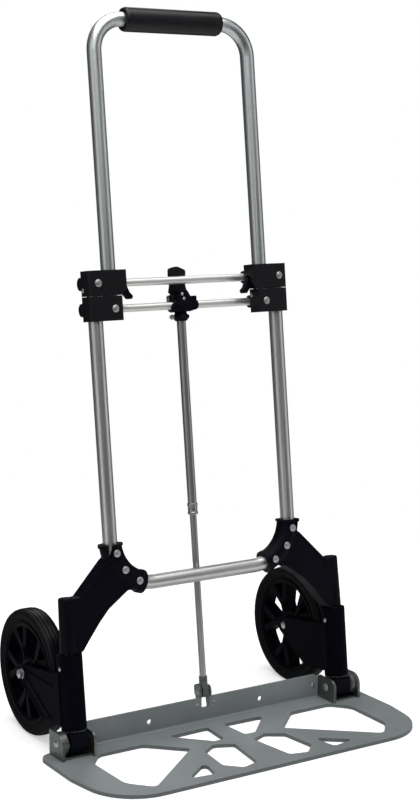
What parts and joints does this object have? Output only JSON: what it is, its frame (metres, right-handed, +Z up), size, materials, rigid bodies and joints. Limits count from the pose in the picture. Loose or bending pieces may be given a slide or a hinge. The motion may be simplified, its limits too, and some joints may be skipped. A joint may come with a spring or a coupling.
{
  "type": "hand truck",
  "caption": "Folding hand truck with a telescoping handle, a hinged toe plate and wheels that swing in behind the frame.",
  "frame": {"origin": "on the floor, under the middle of the outline with the toe plate down", "axes": "+X to the truck's right, +Y to the back towards the wheels, +Z up"},
  "size_m": [0.528, 0.383, 0.9971],
  "materials": {
    "tube": "satin drawn aluminium tube",
    "bar": "bright drawn aluminium rod",
    "bracket": "fine textured black moulding",
    "steel": "zinc plated steel",
    "rod": "dark plated steel rod",
    "zinc": "zinc plated pressed steel",
    "plate": "grey-green powder coat",
    "grip": "matt foam grip",
    "rim": "black moulded rim",
    "tyre": "matt black tyre"
  },
  "bodies": {
    "frame": {"lower_frame_tube": "tube", "upper_bracket_left": "bracket", "upper_bracket_right": "bracket", "upper_crossbar": "bar", "upper_bracket_rivets": "steel", "upper_bar_screws": "steel", "latch_pins": "steel", "casting_left": "bracket", "casting_right": "bracket", "casting_rivets": "steel", "column_left": "steel", "column_right": "steel", "knuckle_left": "bracket", "knuckle_right": "bracket"},
    "handle": {"handle_tube": "tube", "handle_grip": "grip", "lower_bracket_left": "bracket", "lower_bracket_right": "bracket", "lower_crossbar": "bar", "lower_bracket_rivets": "steel", "lower_bar_screws": "steel", "carrier": "bracket", "paddle_pin": "steel", "carrier_screws": "steel", "rod_collar": "bracket", "collar_pin": "steel", "rod_tube": "rod", "rod_ferrule": "rod"},
    "latch_left": {"latch_lever_left": "bracket"},
    "latch_right": {"latch_lever_right": "bracket"},
    "paddle": {"release_paddle": "bracket"},
    "rod": {"rod_inner": "rod", "rod_foot": "zinc"},
    "plate": {"toe_plate": "plate", "flange_rivets": "steel", "hinge_bracket_left": "zinc", "hinge_bracket_right": "zinc", "hinge_pins": "steel", "clevis": "zinc", "clevis_pin": "steel"},
    "fork_left": {"fork_left": "bracket", "fork_gear_left": "zinc", "fork_rivet_left": "steel", "axle_left": "steel", "axle_nut_left": "steel"},
    "fork_right": {"fork_right": "bracket", "fork_gear_right": "zinc", "fork_rivet_right": "steel", "axle_right": "steel", "axle_nut_right": "steel"},
    "wheel_left": {"rim_left": "rim", "tyre_left": "tyre"},
    "wheel_right": {"rim_right": "rim", "tyre_right": "tyre"}
  },
  "joints": [
    {"name": "handle_slide", "type": "slide", "parent": "frame", "child": "handle", "axis": [0, 0.1132, 0.9936], "range_m": [-0.215, 0]},
    {"name": "latch_left_press", "type": "hinge", "parent": "frame", "child": "latch_left", "pos_m": [-0.1055, 0.05375, 0.62535], "axis": [0, -0.9936, 0.1132], "range_deg": [0, 20], "stiffness_Nm_per_rad": 0.08},
    {"name": "latch_right_press", "type": "hinge", "parent": "frame", "child": "latch_right", "pos_m": [0.1055, 0.05375, 0.62535], "axis": [0, 0.9936, -0.1132], "range_deg": [0, 20], "stiffness_Nm_per_rad": 0.08},
    {"name": "paddle_press", "type": "hinge", "parent": "handle", "child": "paddle", "pos_m": [0, 0.07678, 0.6022], "axis": [-1, 0, 0], "range_deg": [0, 12], "stiffness_Nm_per_rad": 0.6},
    {"name": "plate_fold", "type": "hinge", "parent": "frame", "child": "plate", "pos_m": [0, -0.01476, 0.02404], "axis": [-1, 0, 0], "range_deg": [0, 96.43]},
    {"name": "fork_swing_left", "type": "hinge", "parent": "frame", "child": "fork_left", "pos_m": [-0.219, -0.00731, 0.08942], "axis": [0, -0.1132, -0.9936], "range_deg": [0, 90]},
    {"name": "fork_swing_right", "type": "hinge", "parent": "frame", "child": "fork_right", "pos_m": [0.219, -0.00731, 0.08942], "axis": [0, 0.1132, 0.9936], "range_deg": [0, 90]},
    {"name": "rod_drop", "type": "slide", "parent": "frame", "child": "rod", "axis": [0, -0.1132, -0.9936], "range_m": [0, 0.05112]},
    {"name": "wheel_spin_left", "type": "hinge", "parent": "fork_left", "child": "wheel_left", "pos_m": [-0.2205, 0.1025, 0.089], "axis": [1, 0, 0], "continuous": true},
    {"name": "wheel_spin_right", "type": "hinge", "parent": "fork_right", "child": "wheel_right", "pos_m": [0.2205, 0.1025, 0.089], "axis": [1, 0, 0], "continuous": true}
  ],
  "couplings": [
    {"joint": "fork_swing_left", "follows": "plate_fold", "ratio": 0.93333},
    {"joint": "fork_swing_right", "follows": "plate_fold", "ratio": 0.93333},
    {"joint": "rod_drop", "follows": "plate_fold", "m_per_rad": 0.030199}
  ]
}
